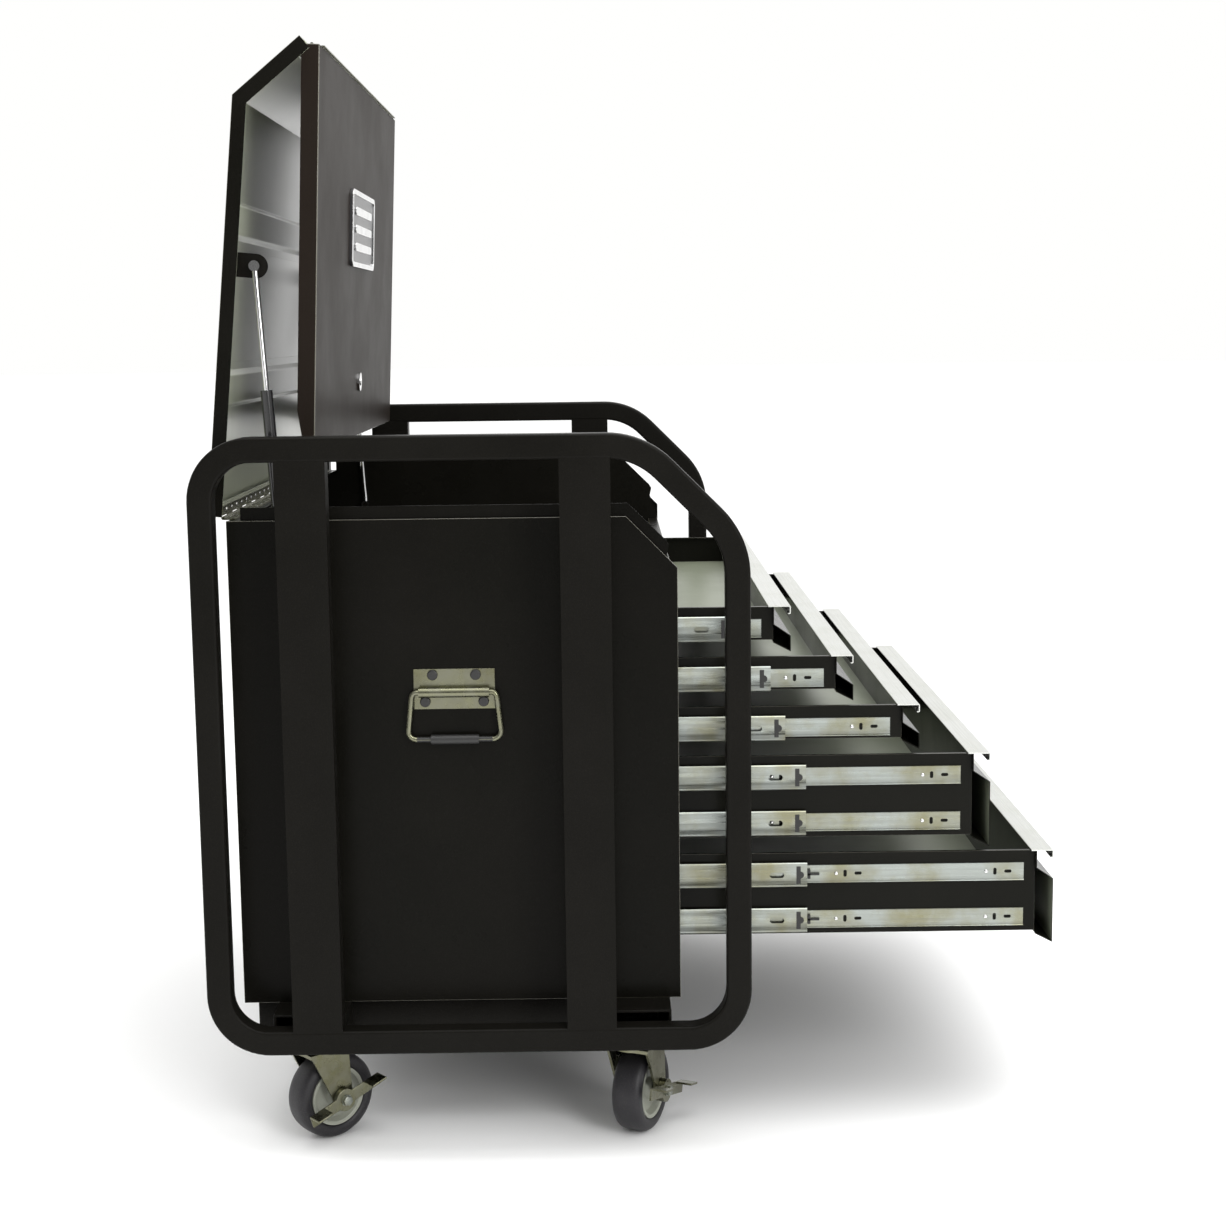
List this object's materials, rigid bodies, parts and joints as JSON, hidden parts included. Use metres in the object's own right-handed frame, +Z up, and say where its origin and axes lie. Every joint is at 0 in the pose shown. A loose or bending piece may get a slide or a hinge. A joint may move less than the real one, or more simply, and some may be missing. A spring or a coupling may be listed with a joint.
{
  "type": "rolling tool chest",
  "caption": "Rolling tool chest with a hinged lid and drop-front cover, drawers on ball-bearing slides, tubular side guards, side handles and braked swivel casters.",
  "frame": {"origin": "on the floor, midway between the cabinet sides and midway between its front and back", "axes": "+Z up, the drawers open towards -Y, +X to the right as seen from the front"},
  "size_m": [1.215, 1.2176, 1.5748],
  "materials": {
    "black_enamel": "semi-gloss baked enamel on folded sheet",
    "frame_enamel": "semi-gloss powder coat on tube",
    "zinc_steel": "bright zinc plate",
    "yellow_zinc": "yellow-passivated zinc",
    "chrome_plate": "polished chrome",
    "strut_black": "gloss black cylinder",
    "strut_rod": "ground and polished rod",
    "pull_aluminium": "clear-anodised extrusion",
    "badge": "moulded, bevelled, no lettering",
    "black_fastener": "black oxide",
    "tyre_rubber": "black rubber tread on a pale hub"
  },
  "bodies": {
    "cabinet": {"side_panel_left": "black_enamel", "side_panel_right": "black_enamel", "back_panel": "black_enamel", "top_tray": "black_enamel", "cabinet_frame": "black_enamel", "base_chassis": "frame_enamel", "guard_frame_left": "frame_enamel", "guard_frame_right": "frame_enamel", "cabinet_runners": "zinc_steel", "handle_plates": "zinc_steel", "handle_screws": "black_fastener", "caster_mounts": "zinc_steel", "lid_hinge_lower": "yellow_zinc"},
    "lid": {"lid_shell": "black_enamel", "lid_stiffeners": "black_enamel", "lid_hinge_upper": "yellow_zinc", "cover_hinge_upper": "yellow_zinc"},
    "front_cover": {"front_cover": "black_enamel", "cover_hinge_lower": "yellow_zinc", "cover_badge": "badge", "lock_housing": "chrome_plate"},
    "lock_barrel": {"lock_barrel": "chrome_plate"},
    "strut_left_lower": {"strut_left_lower": "strut_black"},
    "strut_left_upper": {"strut_left_upper": "strut_rod"},
    "strut_right_lower": {"strut_right_lower": "strut_rod"},
    "strut_right_upper": {"strut_right_upper": "strut_black"},
    "drawer_1": {"drawer_1_box": "black_enamel", "drawer_1_pull": "pull_aluminium", "drawer_1_runners": "zinc_steel"},
    "middle_runners_1": {"middle_runners_1": "zinc_steel"},
    "drawer_2": {"drawer_2_box": "black_enamel", "drawer_2_pull": "pull_aluminium", "drawer_2_runners": "zinc_steel"},
    "middle_runners_2": {"middle_runners_2": "zinc_steel"},
    "drawer_3": {"drawer_3_box": "black_enamel", "drawer_3_pull": "pull_aluminium", "drawer_3_runners": "zinc_steel"},
    "middle_runners_3": {"middle_runners_3": "zinc_steel"},
    "drawer_4": {"drawer_4_box": "black_enamel", "drawer_4_pull": "pull_aluminium", "drawer_4_runners": "zinc_steel"},
    "middle_runners_4": {"middle_runners_4": "zinc_steel"},
    "drawer_5": {"drawer_5_box": "black_enamel", "drawer_5_pull": "pull_aluminium", "drawer_5_runners": "zinc_steel"},
    "middle_runners_5": {"middle_runners_5": "zinc_steel"},
    "bail_left": {"bail_left": "zinc_steel"},
    "bail_right": {"bail_right": "zinc_steel"},
    "caster_rear_left": {"caster_fork_rear_left": "zinc_steel"},
    "wheel_rear_left": {"caster_wheel_rear_left": "tyre_rubber"},
    "brake_rear_left": {"caster_brake_rear_left": "zinc_steel"},
    "caster_front_left": {"caster_fork_front_left": "zinc_steel"},
    "wheel_front_left": {"caster_wheel_front_left": "tyre_rubber"},
    "brake_front_left": {"caster_brake_front_left": "zinc_steel"},
    "caster_rear_right": {"caster_fork_rear_right": "zinc_steel"},
    "wheel_rear_right": {"caster_wheel_rear_right": "tyre_rubber"},
    "brake_rear_right": {"caster_brake_rear_right": "zinc_steel"},
    "caster_front_right": {"caster_fork_front_right": "zinc_steel"},
    "wheel_front_right": {"caster_wheel_front_right": "tyre_rubber"},
    "brake_front_right": {"caster_brake_front_right": "zinc_steel"}
  },
  "joints": [
    {"name": "lid_hinge", "type": "hinge", "parent": "cabinet", "child": "lid", "pos_m": [0, 0.325, 0.915], "axis": [-1, 0, 0], "range_deg": [-84.4, 0], "stiffness_Nm_per_rad": 12, "springref_deg": 126.05},
    {"name": "front_cover_hinge", "type": "hinge", "parent": "lid", "child": "front_cover", "pos_m": [0, 0.18099, 1.56903], "axis": [-1, 0, 0], "range_deg": [-3, 100]},
    {"name": "lock_turn", "type": "hinge", "parent": "front_cover", "child": "lock_barrel", "pos_m": [0, 0.1877, 1.09285], "axis": [0, 0.999, 0.0454], "range_deg": [0, 90]},
    {"name": "strut_left_pivot", "type": "hinge", "parent": "cabinet", "child": "strut_left_lower", "pos_m": [-0.5035, 0.242, 0.847], "axis": [-1, 0, 0], "range_deg": [-84.2, 0]},
    {"name": "strut_left_slide", "type": "slide", "parent": "strut_left_lower", "child": "strut_left_upper", "axis": [0, 0.0585, 0.9983], "range_m": [-0.14434, 0]},
    {"name": "strut_right_pivot", "type": "hinge", "parent": "cabinet", "child": "strut_right_lower", "pos_m": [0.5035, 0.242, 0.847], "axis": [-1, 0, 0], "range_deg": [-84.2, 0]},
    {"name": "strut_right_slide", "type": "slide", "parent": "strut_right_lower", "child": "strut_right_upper", "axis": [0, 0.0585, 0.9983], "range_m": [-0.14434, 0]},
    {"name": "drawer_1_slide", "type": "slide", "parent": "cabinet", "child": "drawer_1", "axis": [0, -1, 0], "range_m": [-0.138, 0.412]},
    {"name": "middle_runner_1_slide", "type": "slide", "parent": "cabinet", "child": "middle_runners_1", "axis": [0, -1, 0], "range_m": [-0.0825, 0.2453]},
    {"name": "drawer_2_slide", "type": "slide", "parent": "cabinet", "child": "drawer_2", "axis": [0, -1, 0], "range_m": [-0.228, 0.322]},
    {"name": "middle_runner_2_slide", "type": "slide", "parent": "cabinet", "child": "middle_runners_2", "axis": [0, -1, 0], "range_m": [-0.1375, 0.194]},
    {"name": "drawer_3_slide", "type": "slide", "parent": "cabinet", "child": "drawer_3", "axis": [0, -1, 0], "range_m": [-0.324, 0.226]},
    {"name": "middle_runner_3_slide", "type": "slide", "parent": "cabinet", "child": "middle_runners_3", "axis": [0, -1, 0], "range_m": [-0.1585, 0.1107]},
    {"name": "drawer_4_slide", "type": "slide", "parent": "cabinet", "child": "drawer_4", "axis": [0, -1, 0], "range_m": [-0.427, 0.123]},
    {"name": "middle_runner_4_slide", "type": "slide", "parent": "cabinet", "child": "middle_runners_4", "axis": [0, -1, 0], "range_m": [-0.1885, 0.0547]},
    {"name": "drawer_5_slide", "type": "slide", "parent": "cabinet", "child": "drawer_5", "axis": [0, -1, 0], "range_m": [-0.521, 0.029]},
    {"name": "middle_runner_5_slide", "type": "slide", "parent": "cabinet", "child": "middle_runners_5", "axis": [0, -1, 0], "range_m": [-0.1905, 0.0111]},
    {"name": "bail_left_swing", "type": "hinge", "parent": "cabinet", "child": "bail_left", "pos_m": [-0.5302, 0.0016, 0.6659], "axis": [0, 1, 0], "range_deg": [0, 90]},
    {"name": "bail_right_swing", "type": "hinge", "parent": "cabinet", "child": "bail_right", "pos_m": [0.5302, 0.0016, 0.6659], "axis": [0, -1, 0], "range_deg": [0, 90]},
    {"name": "swivel_rear_left", "type": "hinge", "parent": "cabinet", "child": "caster_rear_left", "pos_m": [-0.512, 0.215, 0.1], "axis": [0, 0, 1], "continuous": true},
    {"name": "wheel_rear_left", "type": "hinge", "parent": "caster_rear_left", "child": "wheel_rear_left", "pos_m": [-0.49914, 0.19968, 0.0635], "axis": [0.766, 0.6428, 0], "continuous": true},
    {"name": "brake_rear_left", "type": "hinge", "parent": "caster_rear_left", "child": "brake_rear_left", "pos_m": [-0.49914, 0.19968, 0.0635], "axis": [-0.766, -0.6428, 0], "range_deg": [-32, 0]},
    {"name": "swivel_front_left", "type": "hinge", "parent": "cabinet", "child": "caster_front_left", "pos_m": [-0.512, -0.25, 0.1], "axis": [0, 0, 1], "continuous": true},
    {"name": "wheel_front_left", "type": "hinge", "parent": "caster_front_left", "child": "wheel_front_left", "pos_m": [-0.49373, -0.25814, 0.0635], "axis": [0.4067, 0.9135, 0], "continuous": true},
    {"name": "brake_front_left", "type": "hinge", "parent": "caster_front_left", "child": "brake_front_left", "pos_m": [-0.49373, -0.25814, 0.0635], "axis": [-0.4067, -0.9135, 0], "range_deg": [0, 32]},
    {"name": "swivel_rear_right", "type": "hinge", "parent": "cabinet", "child": "caster_rear_right", "pos_m": [0.512, 0.215, 0.1], "axis": [0, 0, 1], "continuous": true},
    {"name": "wheel_rear_right", "type": "hinge", "parent": "caster_rear_right", "child": "wheel_rear_right", "pos_m": [0.49914, 0.19968, 0.0635], "axis": [-0.766, 0.6428, 0], "continuous": true},
    {"name": "brake_rear_right", "type": "hinge", "parent": "caster_rear_right", "child": "brake_rear_right", "pos_m": [0.49914, 0.19968, 0.0635], "axis": [-0.766, 0.6428, 0], "range_deg": [-32, 0]},
    {"name": "swivel_front_right", "type": "hinge", "parent": "cabinet", "child": "caster_front_right", "pos_m": [0.512, -0.25, 0.1], "axis": [0, 0, 1], "continuous": true},
    {"name": "wheel_front_right", "type": "hinge", "parent": "caster_front_right", "child": "wheel_front_right", "pos_m": [0.49373, -0.25814, 0.0635], "axis": [-0.4067, 0.9135, 0], "continuous": true},
    {"name": "brake_front_right", "type": "hinge", "parent": "caster_front_right", "child": "brake_front_right", "pos_m": [0.49373, -0.25814, 0.0635], "axis": [-0.4067, 0.9135, 0], "range_deg": [0, 32]}
  ],
  "couplings": [
    {"joint": "strut_left_pivot", "follows": "lid_hinge", "ratio": 0.99702},
    {"joint": "strut_left_slide", "follows": "lid_hinge", "m_per_rad": 0.097852},
    {"joint": "strut_right_pivot", "follows": "lid_hinge", "ratio": 0.99702},
    {"joint": "strut_right_slide", "follows": "lid_hinge", "m_per_rad": 0.097852},
    {"joint": "middle_runner_1_slide", "follows": "drawer_1_slide", "ratio": 0.5942},
    {"joint": "middle_runner_2_slide", "follows": "drawer_2_slide", "ratio": 0.60088},
    {"joint": "middle_runner_3_slide", "follows": "drawer_3_slide", "ratio": 0.48765},
    {"joint": "middle_runner_4_slide", "follows": "drawer_4_slide", "ratio": 0.44028},
    {"joint": "middle_runner_5_slide", "follows": "drawer_5_slide", "ratio": 0.36468}
  ]
}
